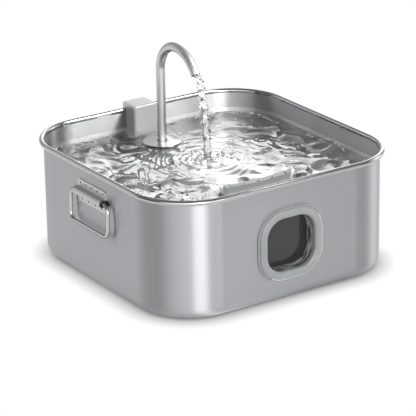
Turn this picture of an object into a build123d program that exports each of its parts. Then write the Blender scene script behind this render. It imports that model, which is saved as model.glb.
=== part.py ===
from build123d import *
import os
from math import cos, radians

# Pet water fountain. Millimetres, +Z up, the front wall faces -Y.
# The origin is the middle of the tub's underside, on the surface that it stands on.

# ---- tub: one drawn sheet with a rolled rim ----
tub_width = 300.0
tub_height = 134.5
tub_corner = 64.5
tub_wall = 1.0
foot_bend = 12.5
rim_roll = 6.0
rim_turn = 300.0
panel_raise = 1.5
panel_inset = 42.0
panel_slope = 45.0

# ---- sight window in the front wall ----
window_width = 61.2
window_height = 59.4
window_corner = 20.5
window_z = 63.3
bezel_band = 11.2
bezel_proud = 3.6
bezel_crest = 3.4
bezel_bulge = 0.35
bezel_inner_edge = 1.8
bezel_outer_edge = 1.4
bezel_lip = 1.4
bezel_lip_rise = 2.1
bezel_groove = 0.7
bezel_shoulder = 2.5
sleeve_wall = 1.6
gasket_thick = 1.5
pane_flange = 2.0
pane_thick = 2.4
pane_wall = 1.8
pane_lip = 0.6
pane_depth = 10.0
clamp_thick = 2.0
seal_step = 0.8
screw_radius = 1.2
screw_bite = 2.2
screw_head_radius = 2.3
screw_head = 1.4

# ---- drop handles on the side walls ----
strap_length = 56.0
strap_height = 24.5
strap_sheet = 1.2
strap_corner = 3.0
upper_welds = 5
upper_weld_run = 45.0
lower_welds = 4
lower_weld_run = 40.0
weld_radius = 1.5
weld_dent = 0.4
pivot_drop = 31.0
pivot_gap = 1.4
wire_radius = 1.9
bail_drop = 35.6
bail_corner = 9.0
bail_tilt = 2.0
bail_play = 0.2
bush_wall = 1.3
bush_length = 10.0
bush_collar = 0.8
bush_step = 0.8

# ---- cord cover hooked over the back rim ----
cover_width = 31.0
cover_reach = 19.0
cover_drop = 30.5
cover_rise = 6.5
cover_wall = 1.8
cover_leg = 2.3
cover_leg_drop = 22.5
cover_round = 3.0
cover_top_round = 2.4
cord_radius = 1.9
grommet_wall = 0.6
grommet_flange = 1.1

# ---- pump housing on the tub floor ----
housing_gap = 11.0
filter_gap = 62.5
cup_height = 4.5
cup_radius = 10.5
cup_waist_radius = 6.5
cup_waist_height = 2.5
cup_seat_radius = 4.7
cup_neck_radius = 2.4
cup_head_radius = 3.4
cup_tip_radius = 1.7
cup_hollow_top = 2.2
cup_hollow_radius = 5.2
cup_hollow_height = 1.6
cup_lip = 0.5
base_plate = 2.0
base_rim = 12.0
shell = 2.0
side_room = 10.0
back_room = 1.9
front_room = 14.1
roof_room = 10.0
housing_corner = 8.0
housing_top_round = 4.8
housing_inner_round = 4.0
duct_width = 48.0
duct_height = 11.0
duct_round = 4.5
neck_drop = 32.5
neck_blend = 8.0
post_radius = 3.4
post_sink = 0.4
post_height = 14.0
housing_screw_radius = 1.4
housing_screw_head_radius = 2.6
housing_screw_head = 1.6
gland_set_back = 14.0
gland_bore = 1.9
gland_wall = 1.5
gland_flange = 1.2
gland_rise = 12.0

# ---- pump ----
motor_width = 42.0
motor_height = 38.0
motor_corner = 5.0
motor_end_round = 3.0
motor_rib_gap = 16.8
motor_pad = 3.0
motor_back_wall = 3.0
rotor_gap = 0.6
rotor_end_play = 2.0
magnet_radius = 7.2
magnet_length = 22.0
magnet_chamfer = 0.5
shaft_radius = 1.15
shaft_socket = 3.0
chamber_radius = 12.5
chamber_depth = 12.0
volute_wall = 2.0
volute_flange = 2.5
volute_throat = 2.3
intake_radius = 5.6
impeller_gap = 2.0
impeller_vanes = 6
vane_thick = 1.0
hub_radius = 4.2
shroud_thick = 1.2
outlet_wall = 1.4
outlet_rise = 2.0
foam_length = 26.0
foam_gap = 7.0

# ---- riser, socket and gooseneck spout ----
riser_wall = 2.0
riser_grip = 12.0
socket_body = 18.0
socket_flange = 2.0
socket_wall = 1.2
pipe_radius = 5.0
pipe_wall = 0.8
pipe_set_in = 17.6
spout_rise = 87.2
arch_radius = 32.8
fall_radius = 45.0
fall_angle = 57.5
outlet_run = 1.2
oring_radius = 0.78
oring_rise = 4.6
collar_wall = 2.6
collar_height = 5.2
lug_reach = 1.9
lug_half_angle = 8.0
swivel_angle = 75.0
stop_play = 1.0
disc_radius = 22.3
disc_sheet = 1.2
disc_bead = 0.9
disc_crown = 1.0
disc_skirt = 1.6
disc_gap = 1.3

# ---- filter cassette ----
cassette_width = 86.0
cassette_depth = 14.0
cassette_drop = 26.5
cassette_corner = 3.0
cassette_shell = 1.6
well_height = 39.0
well_lip_round = 0.8
slot_width = 4.0
slot_length = 62.0
slot_pitch = 8.4
slot_margin = 3.6
pad_lobe = 20.5
pad_side_gap = 4.4
pad_round = 2.0
crease_length = 26.6
crease_depth = 1.0
grip_step = 1.0
grip_depth = 8.2
grip_height = 9.0
grip_sill = 1.6
grip_overhang = 1.2
grip_corner = 3.0
grip_round = 0.9
grip_wall = 1.6
scoop_margin = 4.0
scoop_dip = 2.0
vent_radius = 1.2
vent_depth = 1.1
vent_margin = 7.5
vent_count = 5

# ---- screw heads, as shares of the head's size ----
head_round = 0.45
cross_length = 1.2
cross_width = 0.3

# ---- clearances ----
fit = 0.3
running = 0.06
rest_gap = 0.1
hole_play = 0.25
past = 1.0

# ---- places worked out from the sizes ----
half = tub_width / 2
inner_half = half - tub_wall
rim_reach = half - tub_wall + rim_roll
floor_top = tub_wall + panel_raise
rim_z = tub_height - rim_roll / 2

seal_band = bezel_band - seal_step
seal_back = tub_wall + gasket_thick
flange_back = seal_back + pane_flange
clamp_back = flange_back + clamp_thick
screw_inset = (sleeve_wall + seal_band) / 2

pivot_z = tub_height - pivot_drop
bush_radius = wire_radius + bush_wall
bush_collar_radius = bush_radius + bush_step
pivot_out = bush_radius + pivot_gap
bail_width = strap_length + 2 * (bush_collar + bail_play + bail_corner)

cover_top = tub_height + cover_rise
cover_bottom = tub_height - cover_drop
cover_leg_bottom = tub_height - cover_leg_drop
cover_front = inner_half - cover_reach
cover_back = rim_reach + fit + cover_leg
cord_exit_z = cover_top - cover_wall - cord_radius - grommet_wall

rotor_well_radius = magnet_radius + rotor_gap
rotor_well_depth = magnet_length + rotor_end_play
motor_length = rotor_well_depth + shaft_socket + motor_back_wall
impeller_radius = chamber_radius - impeller_gap
outlet_bore = pipe_radius - pipe_wall
outlet_radius = outlet_bore + outlet_wall
rotor_x = outlet_bore + volute_throat - chamber_radius

base_z = floor_top + cup_height
trough_z = base_z + base_plate
base_top = trough_z + base_rim
motor_z = trough_z + motor_pad
rotor_z = motor_z + motor_height / 2

housing_back = inner_half - housing_gap
motor_front = housing_back - shell - back_room - motor_length
motor_y = motor_front + motor_length / 2
volute_front = motor_front - chamber_depth - volute_wall
spout_y = motor_front - rest_gap - chamber_depth / 2
housing_front = volute_front - front_room - shell
housing_length = housing_back - housing_front
housing_y = (housing_back + housing_front) / 2
housing_width = motor_width + 2 * side_room
housing_top = motor_z + motor_height + roof_room + shell
housing_height = housing_top - base_top
post_x = housing_width / 2 - shell - post_radius + post_sink
post_y = housing_length / 2 - shell - post_radius + post_sink
gland_y = housing_back - gland_set_back
gland_radius = gland_bore + gland_wall
foam_y = housing_front - foam_gap - foam_length / 2
duct_top = base_top + duct_height

collar_radius = pipe_radius + collar_wall
neck_bore = collar_radius + lug_reach + fit + socket_wall
neck_radius = neck_bore + shell
neck_top = tub_height - neck_drop
flange_z = neck_top + socket_flange
socket_bottom = neck_top - socket_body
pipe_foot = flange_z - pipe_set_in
oring_z = pipe_foot + oring_rise
riser_height = flange_z + spout_rise
outlet_top = housing_top + outlet_rise
riser_bottom = outlet_top - riser_grip
collar_z = flange_z - collar_height - running
counterbore_z = collar_z - running
spigot_length = (socket_bottom - outlet_top) / 2

filter_y = filter_gap - inner_half
well_width = cassette_width + 2 * (fit + shell)
well_depth = cassette_depth + 2 * (fit + shell)
well_top = base_top + well_height
duct_front = filter_y + well_depth / 2
cassette_top = tub_height - cassette_drop
cassette_bottom = trough_z + fit
cassette_middle = (cassette_bottom + cassette_top) / 2
cassette_inner_width = cassette_width - 2 * cassette_shell
cassette_inner_depth = cassette_depth - 2 * cassette_shell
slot_count = 1 + 2 * int((cassette_inner_width / 2 - slot_margin) / slot_pitch)
pad_spread = (cassette_inner_width / 2 - pad_side_gap - pad_lobe) / cos(radians(30))
grip_width = cassette_width - 2 * grip_step
sill_depth = cassette_depth - 2 * fit
grip_front = filter_y - sill_depth / 2
grip_y = grip_front + grip_depth / 2
grip_top = cassette_top + grip_height
scoop_chord = grip_width - 2 * scoop_margin
vent_pitch = (grip_width - 2 * vent_margin) / (vent_count - 1)


def fused(shapes):
    """Joins a list of touching or crossing solids into one."""
    whole = Part()
    for shape in shapes:
        whole += shape
    return whole


def turned(points, arc=360):
    """Turns an outline of (radius, height) points about the Z axis."""
    outline = make_face(Polyline(*points, close=True))
    return revolve(Plane.XZ * outline, Axis.Z, arc)


def tube(outer, inner, low, high):
    """An upright tube between two heights."""
    ring = Circle(outer) - Circle(inner) if inner else Circle(outer)
    return Pos(0, 0, low) * extrude(ring, high - low)


def band_arc(x, y, outer, inner, start, size):
    """A flat ring sector about (x, y), from the angle start over the angle size."""
    out_arc = CenterArc((x, y), outer, start, size)
    in_arc = CenterArc((x, y), inner, start, size)
    first = Line(out_arc @ 0, in_arc @ 0)
    last = Line(out_arc @ 1, in_arc @ 1)
    return make_face(Curve() + [out_arc, in_arc, first, last])


def round_ring(section, reach_x, reach_y, corner):
    """Carries a section round a rounded rectangle: section x is outwards, section y is height."""
    upright = Plane.XZ * section
    run_x = reach_x - corner
    run_y = reach_y - corner
    pieces = []
    sides = ((0, reach_x, run_y), (90, reach_y, run_x), (180, reach_x, run_y), (270, reach_y, run_x))
    for turn, reach, run in sides:
        side = extrude(Pos(reach, run, 0) * upright, 2 * run, dir=(0, -1, 0))
        pieces.append(Rot(Z=turn) * side)
    for turn, sign_x, sign_y in ((0, 1, 1), (90, -1, 1), (180, -1, -1), (270, 1, -1)):
        bend = revolve(Pos(corner, 0, 0) * upright, Axis.Z, 90)
        pieces.append(Pos(sign_x * run_x, sign_y * run_y, 0) * Rot(Z=turn) * bend)
    return fused(pieces)


def on_front(shape):
    """Places a piece drawn flat, with its height outwards, on the front wall at the window."""
    return Pos(0, -half, window_z) * Rot(X=90) * shape


# ---- tub ----
def tub_section():
    wall = Pos(-tub_wall / 2, (foot_bend + rim_z) / 2) * Rectangle(tub_wall, rim_z - foot_bend)
    bend = band_arc(-foot_bend, foot_bend, foot_bend, foot_bend - tub_wall, 0, -90)
    roll = rim_roll / 2
    curl = band_arc(roll - tub_wall, rim_z, roll, roll - tub_wall, 180, -rim_turn)
    return wall + bend + curl


def tub_floor():
    reach = tub_width - 2 * foot_bend
    plate = extrude(RectangleRounded(reach, reach, tub_corner - foot_bend), tub_wall)
    panel_size = tub_width - 2 * panel_inset
    panel_corner = tub_corner - panel_inset / 2
    raised = RectangleRounded(panel_size, panel_size, panel_corner)
    boss = Pos(0, 0, tub_wall) * extrude(raised, panel_raise, taper=panel_slope)
    inner_size = panel_size - 2 * tub_wall
    hollow = RectangleRounded(inner_size, inner_size, panel_corner - tub_wall)
    recess = extrude(hollow, panel_raise, taper=panel_slope)
    return plate + boss - recess


def seal_screw_places():
    """Screw centres: the middle of each side and each corner of the window's frame."""
    reach_x = window_width / 2 + screw_inset
    reach_y = window_height / 2 + screw_inset
    slant = (window_corner + screw_inset) * cos(radians(45))
    corner_x = window_width / 2 - window_corner + slant
    corner_y = window_height / 2 - window_corner + slant
    sides = [(reach_x, 0), (-reach_x, 0), (0, reach_y), (0, -reach_y)]
    corners = [(sx * corner_x, sy * corner_y) for sx in (1, -1) for sy in (1, -1)]
    return sides + corners


def seal_holes(radius, low, high):
    return [Pos(x, y, low) * extrude(Circle(radius), high - low) for x, y in seal_screw_places()]


def tub_shell():
    shell_body = round_ring(tub_section(), half, half, tub_corner) + tub_floor()
    grow = 2 * (sleeve_wall + fit)
    corner = window_corner + sleeve_wall + fit
    opening = RectangleRounded(window_width + grow, window_height + grow, corner)
    cutter = Pos(0, 0, -2 * tub_wall) * extrude(opening, 3 * tub_wall)
    shell_body -= on_front(cutter)
    for hole in seal_holes(screw_radius + hole_play, -2 * tub_wall, tub_wall):
        shell_body -= on_front(hole)
    return shell_body


# ---- window ----
def window_ring(section):
    return round_ring(section, window_width / 2, window_height / 2, window_corner)


def block_section(left, right, low, high):
    return Pos((left + right) / 2, (low + high) / 2) * Rectangle(right - left, high - low)


def bezel_section():
    """Section across the frame: x is outwards from the opening and y is height from the wall."""
    lip = bezel_band - bezel_lip
    groove = lip - bezel_groove
    crest = (bezel_crest, bezel_proud)
    outer_bulge = ((groove + bezel_crest) / 2, (bezel_shoulder + bezel_proud) / 2 + bezel_bulge)
    inner_bulge = (bezel_crest / 2 - bezel_bulge, (bezel_inner_edge + bezel_proud) / 2 + bezel_bulge)
    corners = [
        (0, bezel_inner_edge),
        (0, -seal_back),
        (sleeve_wall, -seal_back),
        (sleeve_wall, 0),
        (bezel_band, 0),
        (bezel_band, bezel_outer_edge),
        (lip + bezel_lip / 2, bezel_lip_rise),
        (lip, bezel_lip_rise),
        (lip, bezel_outer_edge),
        (groove, bezel_outer_edge),
        (groove, bezel_shoulder),
    ]
    outer_arc = ThreePointArc(corners[-1], outer_bulge, crest)
    inner_arc = ThreePointArc(crest, inner_bulge, corners[0])
    return make_face(Curve() + [Polyline(*corners), outer_arc, inner_arc])


def window_bezel():
    ring = window_ring(bezel_section())
    for hole in seal_holes(screw_radius + running, -tub_wall, screw_bite + fit):
        ring -= hole
    return on_front(ring)


def window_gasket():
    ring = window_ring(block_section(sleeve_wall + fit, seal_band, -seal_back, -tub_wall))
    for hole in seal_holes(screw_radius + hole_play, -seal_back - past, 0):
        ring -= hole
    return on_front(ring)


def window_pane():
    side = pane_wall - pane_lip
    flange = window_ring(block_section(-pane_lip, seal_band, -flange_back, -seal_back))
    pocket_back = -seal_back - pane_depth
    pocket = window_ring(block_section(-pane_lip, side, pocket_back, -seal_back - pane_flange / 2))
    size_x = window_width + 2 * side
    size_y = window_height + 2 * side
    plate = extrude(RectangleRounded(size_x, size_y, window_corner + side), pane_thick)
    plate = fillet(plate.edges().group_by(Axis.Z)[0], pane_wall / 2)
    body = flange + pocket + Pos(0, 0, pocket_back - pane_thick) * plate
    for hole in seal_holes(screw_radius + hole_play, -flange_back - past, 0):
        body -= hole
    return on_front(body)


def window_clamp_ring():
    inner_edge = pane_wall - pane_lip + fit
    ring = window_ring(block_section(inner_edge, seal_band, -clamp_back, -flange_back))
    for hole in seal_holes(screw_radius + hole_play, -clamp_back - past, 0):
        ring -= hole
    return on_front(ring)


def pan_screw(radius, length, head_radius, head):
    """A pan-head screw along +Z: the head's seat is at zero and the shank goes up."""
    shank = tube(radius, 0, -head / 2, length - radius / 2)
    tip = Pos(0, 0, length - radius / 2) * extrude(Circle(radius), radius / 2, taper=30)
    cap = Pos(0, 0, -head) * extrude(Circle(head_radius), head)
    cap = fillet(cap.edges().group_by(Axis.Z)[0], head * head_round)
    slot = Pos(0, 0, -head) * Box(head_radius * cross_length, head_radius * cross_width, head)
    return cap + shank + tip - slot - Rot(Z=90) * slot


def window_screws():
    length = clamp_back + screw_bite
    screw = pan_screw(screw_radius, length, screw_head_radius, screw_head)
    return [on_front(Pos(x, y, -clamp_back) * screw) for x, y in seal_screw_places()]


# ---- handles: side is -1 on the left wall and +1 on the right ----
def strap_section():
    """Section across the strap: x is outwards from the wall and y is height from the pivot."""
    inner = bush_radius + running
    outer = inner + strap_sheet
    plate = Pos(strap_sheet / 2, 0) * Rectangle(strap_sheet, strap_height)
    ridge = Pos(pivot_out / 2, 0) * Rectangle(pivot_out, 2 * outer) + Pos(pivot_out, 0) * Circle(outer)
    body = plate + ridge
    roots = [v for v in body.vertices() if abs(v.X - strap_sheet) < 0.01 and abs(abs(v.Y) - outer) < 0.01]
    body = fillet(roots, strap_sheet)
    channel = Pos(pivot_out / 2, 0) * Rectangle(pivot_out, 2 * inner) + Pos(pivot_out, 0) * Circle(inner)
    return body - channel


def weld_places():
    """Spot welds: one row above the ridge and one below it."""
    ridge_edge = bush_radius + strap_sheet
    row = (strap_height / 2 + ridge_edge) / 2
    places = []
    for count, run, height in ((upper_welds, upper_weld_run, row), (lower_welds, lower_weld_run, -row)):
        places += [(run * (k / (count - 1) - 0.5), height) for k in range(count)]
    return places


def handle_bracket(side):
    across = Plane(origin=(0, strap_length / 2, 0), x_dir=(1, 0, 0), z_dir=(0, -1, 0))
    strap = extrude(across * strap_section(), strap_length, dir=(0, -1, 0))
    blank = RectangleRounded(strap_length, strap_height, strap_corner)
    outline = Plane.YZ * blank
    strap = strap & extrude(outline, 2 * (pivot_out + bush_radius + strap_sheet), dir=(1, 0, 0))
    for y, z in weld_places():
        dent = Pos(strap_sheet - weld_dent, y, z) * Rot(Y=90) * Cone(
            weld_radius / 2, weld_radius, weld_dent, align=(Align.CENTER, Align.CENTER, Align.MIN)
        )
        strap -= dent
    return Pos(side * half, 0, pivot_z) * Rot(Z=0 if side > 0 else 180) * strap


def handle_bushes(side):
    bush = turned([
        (wire_radius + running, -bush_length),
        (bush_radius, -bush_length),
        (bush_radius, 0),
        (bush_collar_radius, 0),
        (bush_collar_radius, bush_collar),
        (wire_radius + running, bush_collar),
    ])
    pivot = Pos(side * (half + pivot_out), 0, pivot_z)
    front = pivot * Pos(0, -strap_length / 2, 0) * Rot(X=90) * bush
    back = pivot * Pos(0, strap_length / 2, 0) * Rot(X=-90) * bush
    return [front, back]


def handle_bail(side):
    wire = round_ring(Circle(wire_radius), bail_width / 2, bail_drop / 2, bail_corner)
    hung = Plane(origin=(0, 0, -bail_drop / 2), x_dir=(0, 1, 0), z_dir=(1, 0, 0)) * wire
    return Pos(side * (half + pivot_out), 0, pivot_z) * Rot(Y=-side * bail_tilt) * hung


# ---- cord cover ----
def cord_cover():
    depth = cover_back - cover_front
    block = extrude(Rectangle(cover_width, depth), cover_top - cover_bottom)
    block = fillet(block.edges().filter_by(Axis.Z), cover_round)
    block = fillet(block.edges().group_by(Axis.Z)[-1], cover_top_round)
    block = Pos(0, (cover_front + cover_back) / 2, cover_bottom) * block
    rest_z = tub_height + rest_gap
    rim_slot = rim_reach - inner_half + 2 * fit
    slot_y = inner_half - fit + rim_slot / 2
    slot_z = (rest_z + cover_bottom) / 2
    block -= Pos(0, slot_y, slot_z) * Box(2 * cover_width, rim_slot, rest_z - cover_bottom)
    leg_cut = cover_leg_bottom - cover_bottom
    block -= Pos(0, cover_back, cover_bottom + leg_cut / 2) * Box(2 * cover_width, 2 * cover_leg, leg_cut)
    hollow_front = cover_front + cover_wall
    hollow_back = inner_half - fit - cover_wall
    hollow_width = cover_width - 2 * cover_wall
    hollow_top = cover_top - cover_wall
    shaft_depth = hollow_back - hollow_front
    shaft_height = hollow_top - cover_bottom
    shaft_place = Pos(0, (hollow_front + hollow_back) / 2, cover_bottom + shaft_height / 2)
    block -= shaft_place * Box(hollow_width, shaft_depth, shaft_height)
    bridge_depth = rim_reach + fit - hollow_front
    bridge_height = hollow_top - rest_z
    bridge_place = Pos(0, hollow_front + bridge_depth / 2, rest_z + bridge_height / 2)
    block -= bridge_place * Box(hollow_width, bridge_depth, bridge_height)
    hole = Pos(0, cover_back, cord_exit_z) * Rot(X=90) * Cylinder(cord_radius + grommet_wall, 4 * cover_leg)
    return block - hole


def cord_grommet():
    bush = turned([
        (cord_radius, 0),
        (cord_radius + grommet_wall, 0),
        (cord_radius + grommet_wall, cover_leg),
        (cord_radius + grommet_wall + grommet_flange, cover_leg),
        (cord_radius + grommet_wall + grommet_flange, cover_leg + grommet_flange / 2),
        (cord_radius + grommet_wall, cover_leg + grommet_flange),
        (cord_radius, cover_leg + grommet_flange),
    ])
    return Pos(0, rim_reach + fit, cord_exit_z) * Rot(X=-90) * bush


# ---- pump housing ----
def footprint(inset):
    """Outline of the housing, the duct and the filter well, drawn in by an inset."""
    rear = RectangleRounded(housing_width - 2 * inset, housing_length - 2 * inset, housing_corner - inset)
    front = RectangleRounded(well_width - 2 * inset, well_depth - 2 * inset, cassette_corner + shell - inset)
    run = housing_y - filter_y
    duct = Pos(0, (housing_y + filter_y) / 2) * Rectangle(duct_width - 2 * inset, run)
    return Pos(0, housing_y) * rear + Pos(0, filter_y) * front + duct


def cup_places():
    reach_x = duct_width / 2 - cup_head_radius - shell
    rows = (foam_y + foam_length, filter_y + well_depth + cup_radius)
    return [(x, y) for y in rows for x in (-reach_x, reach_x)]


def post_places():
    return [(sx * post_x, housing_y + sy * post_y) for sx in (-1, 1) for sy in (-1, 1)]


def pump_base():
    body = Pos(0, 0, base_z) * extrude(footprint(0), base_plate + base_rim)
    body = fillet(body.edges().group_by(Axis.Z)[0], base_plate / 2)
    body -= Pos(0, 0, trough_z) * extrude(footprint(shell), base_rim)
    for x, y in post_places():
        body += Pos(x, y, 0) * tube(post_radius, 0, trough_z - base_plate / 2, base_top)
    head_room = housing_screw_head_radius + hole_play
    for x, y in post_places():
        body -= Pos(x, y, 0) * tube(housing_screw_radius + hole_play, 0, base_z, base_top)
        body -= Pos(x, y, 0) * tube(head_room, 0, base_z, base_z + housing_screw_head + fit)
    for x, y in cup_places():
        body -= Pos(x, y, 0) * tube(cup_neck_radius + running, 0, base_z, trough_z)
    rib_x = motor_rib_gap / 2
    for x in (-rib_x, rib_x):
        rib = Box(shell, motor_length, motor_pad + base_plate / 2)
        body += Pos(x, motor_y, motor_z - (motor_pad + base_plate / 2) / 2) * rib
    return body


def suction_cups():
    cup = revolve(Plane.XZ * cup_section(), Axis.Z)
    return [Pos(x, y, floor_top) * cup for x, y in cup_places()]


def cup_section():
    neck_top_z = cup_height + base_plate
    seat_z = cup_height - running
    rim = (cup_radius, cup_lip)
    seat = (cup_seat_radius, seat_z)
    crown = (0, cup_hollow_top)
    foot = (cup_radius - cup_lip, 0)
    bell = ThreePointArc(rim, (cup_waist_radius, cup_waist_height), seat)
    stem = Polyline(
        seat,
        (cup_neck_radius, seat_z),
        (cup_neck_radius, neck_top_z),
        (cup_head_radius, neck_top_z),
        (cup_tip_radius, neck_top_z + base_plate),
        (0, neck_top_z + base_plate),
        crown,
    )
    hollow = ThreePointArc(crown, (cup_hollow_radius, cup_hollow_height), foot)
    lip = Polyline(foot, (cup_radius, 0), rim)
    return make_face(Curve() + [bell, stem, hollow, lip])


def cover_outer():
    """Outer form of the housing's lid: the pump's box, the flat duct and the neck."""
    rear = RectangleRounded(housing_width, housing_length, housing_corner)
    box = extrude(rear, housing_height)
    box = fillet(box.edges().group_by(Axis.Z)[-1], housing_top_round)
    box = Pos(0, housing_y, base_top) * box
    duct_run = housing_y - duct_front
    duct = extrude(Rectangle(duct_width, duct_run), duct_height)
    duct = fillet(duct.edges().group_by(Axis.Z)[-1].filter_by(Axis.Y), duct_round)
    duct = Pos(0, (housing_y + duct_front) / 2, base_top) * duct
    neck = turned([
        (0, housing_top - neck_blend),
        (neck_radius + neck_blend / 2, housing_top - neck_blend),
        (neck_radius + neck_blend / 2, housing_top),
        (neck_radius, housing_top + neck_blend),
        (neck_radius, neck_top),
        (0, neck_top),
    ])
    return box + duct + Pos(0, spout_y, 0) * neck


def pump_cover():
    body = cover_outer()
    rear = RectangleRounded(housing_width - 2 * shell, housing_length - 2 * shell, housing_corner - shell)
    room = extrude(rear, housing_height - shell)
    room = fillet(room.edges().group_by(Axis.Z)[-1], housing_inner_round)
    body -= Pos(0, housing_y, base_top) * room
    tunnel_run = housing_y - duct_front + 2 * shell
    tunnel = extrude(Rectangle(duct_width - 2 * shell, tunnel_run), duct_height - shell)
    tunnel = fillet(tunnel.edges().group_by(Axis.Z)[-1].filter_by(Axis.Y), duct_round - shell / 2)
    body -= Pos(0, housing_y - tunnel_run / 2, base_top) * tunnel
    body -= Pos(0, spout_y, 0) * tube(neck_bore, 0, housing_top - 2 * shell, neck_top + past)
    for x, y in post_places():
        body += Pos(x, y, 0) * tube(post_radius, 0, base_top, base_top + post_height)
        body += Pos(x, y, base_top + post_height) * Cone(
            post_radius, post_radius / 2, post_radius, align=(Align.CENTER, Align.CENTER, Align.MIN)
        )
    for x, y in post_places():
        body -= Pos(x, y, 0) * tube(housing_screw_radius + running, 0, base_top, base_top + post_height)
    body -= Pos(0, gland_y, 0) * tube(gland_radius, 0, housing_top - 2 * shell, housing_top + past)
    return body


def base_screws():
    seat = base_z + housing_screw_head
    length = base_top + post_height - seat - fit
    screw = pan_screw(housing_screw_radius, length, housing_screw_head_radius, housing_screw_head)
    return [Pos(x, y, seat + fit) * screw for x, y in post_places()]


def lead_gland():
    brim = gland_radius + gland_flange
    under = housing_top - shell
    body = turned([
        (gland_bore, under - gland_flange),
        (brim, under - gland_flange),
        (brim, under),
        (gland_radius, under),
        (gland_radius, housing_top),
        (brim, housing_top),
        (brim, housing_top + gland_flange),
        (gland_radius, housing_top + 2 * gland_flange),
        (gland_bore + gland_wall / 2, housing_top + gland_rise),
        (gland_bore, housing_top + gland_rise),
    ])
    return Pos(0, gland_y, 0) * body


# ---- pump ----
def along_rotor(y):
    """Turns a piece drawn along +Z to lie along +Y on the rotor's axis, from a given y."""
    return Pos(rotor_x, y, rotor_z) * Rot(X=-90)


def motor_case():
    profile = RectangleRounded(motor_width, motor_height, motor_corner)
    block = extrude(profile, motor_length)
    block = fillet(block.edges().group_by(Axis.Z)[-1], motor_end_round)
    block = Pos(0, motor_front, rotor_z) * Rot(X=-90) * block
    well = tube(rotor_well_radius, 0, -past, rotor_well_depth)
    socket = tube(shaft_radius, 0, 0, rotor_well_depth + shaft_socket)
    return block - along_rotor(motor_front) * well - along_rotor(motor_front) * socket


def volute_cover():
    flange = extrude(RectangleRounded(motor_width, motor_height, motor_corner), volute_flange)
    flange = Pos(0, motor_front - volute_flange, rotor_z) * Rot(X=-90) * flange
    drum = along_rotor(volute_front) * tube(chamber_radius + volute_wall, 0, 0, motor_front - volute_front)
    body = flange + drum
    body += Pos(0, spout_y, 0) * tube(outlet_radius, 0, rotor_z, outlet_top)
    body -= along_rotor(volute_front + volute_wall) * tube(chamber_radius, 0, 0, chamber_depth)
    body -= Pos(0, spout_y, 0) * tube(outlet_bore, 0, rotor_z, outlet_top + past)
    body -= along_rotor(volute_front - past) * tube(intake_radius, 0, 0, volute_wall + 2 * past)
    boss_radius = 2 * shaft_radius
    boss = tube(boss_radius, 0, 0, volute_wall + shaft_radius)
    body += along_rotor(volute_front) * boss
    for turn in (0, 120, 240):
        arm = Pos(intake_radius / 2, 0, volute_wall / 2) * Box(intake_radius + past, vane_thick, volute_wall)
        body += along_rotor(volute_front) * Rot(Z=turn) * arm
    body -= along_rotor(volute_front + volute_wall / 2) * tube(shaft_radius, 0, 0, volute_wall + shaft_radius)
    return body


def shaft_start():
    return volute_front + volute_wall / 2


def shaft_end():
    return motor_front + rotor_well_depth + shaft_socket


def rotor_shaft():
    return along_rotor(shaft_start()) * tube(shaft_radius, 0, 0, shaft_end() - shaft_start())


def rotor_magnet():
    ring = tube(magnet_radius, shaft_radius + running, 0, magnet_length)
    ring = chamfer(ring.edges().group_by(Axis.Z)[-1].group_by(SortBy.RADIUS)[-1], magnet_chamfer)
    return along_rotor(motor_front + shroud_thick + fit) * ring


def impeller():
    back = shroud_thick + fit
    front = chamber_depth - shaft_radius - 2 * fit
    vane_length = front - back
    hub = tube(hub_radius, shaft_radius + running, -front, back)
    shroud = tube(impeller_radius, shaft_radius + running, -back, -fit)
    wheel = hub + shroud
    root = hub_radius - vane_thick / 2
    span = impeller_radius - root
    for k in range(impeller_vanes):
        vane = Pos(root + span / 2, 0, -back - vane_length / 2) * Box(span, vane_thick, vane_length)
        wheel += Rot(Z=360 / impeller_vanes * k) * vane
    edge = tube(impeller_radius, 0, -front, back)
    return along_rotor(motor_front) * (wheel & edge)


def foam_prefilter():
    width = duct_width - 2 * shell - 2 * fit
    low = trough_z + fit
    high = duct_top - shell - fit
    block = extrude(Rectangle(width, foam_length), high - low)
    block = fillet(block.edges().group_by(Axis.Z)[-1].filter_by(Axis.Y), duct_round - shell / 2)
    return Pos(0, foam_y, low) * block


# ---- riser and spout socket ----
def riser_tube():
    top = socket_bottom - rest_gap
    return Pos(0, spout_y, 0) * tube(outlet_radius + riser_wall, outlet_radius, riser_bottom, top)


def sector(inner, outer, half_angle):
    """A flat ring sector that is centred on the +Y direction."""
    return band_arc(0, 0, outer, inner, 90 - half_angle, 2 * half_angle)


def spout_socket():
    spigot = tube(outlet_radius, outlet_bore, socket_bottom - spigot_length, socket_bottom + past)
    plug = tube(neck_bore - running, outlet_bore, socket_bottom, neck_top)
    brim = tube(neck_radius, outlet_bore, neck_top, flange_z)
    body = spigot + plug + brim
    body -= tube(pipe_radius + running, 0, pipe_foot - rest_gap, flange_z + past)
    body -= tube(collar_radius + running, 0, counterbore_z, flange_z + past)
    stop = swivel_angle + lug_half_angle + stop_play
    lug_track = sector(pipe_radius + collar_wall / 2, collar_radius + lug_reach + fit, stop)
    body -= Pos(0, 0, counterbore_z) * extrude(lug_track, flange_z - counterbore_z + past)
    groove_radius = pipe_radius + running + 2 * oring_radius
    body -= tube(groove_radius, 0, oring_z - oring_radius, oring_z + oring_radius)
    return Pos(0, spout_y, 0) * body


def spout_oring():
    ring = Torus(pipe_radius + running + oring_radius, oring_radius - running / 3)
    return Pos(0, spout_y, oring_z) * ring


def spout_collar():
    ring = tube(collar_radius, pipe_radius, collar_z, collar_z + collar_height)
    lug_shape = sector(pipe_radius + collar_wall / 2, collar_radius + lug_reach, lug_half_angle)
    lug = extrude(lug_shape, collar_height)
    return Pos(0, spout_y, 0) * (ring + Pos(0, 0, collar_z) * lug)


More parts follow.
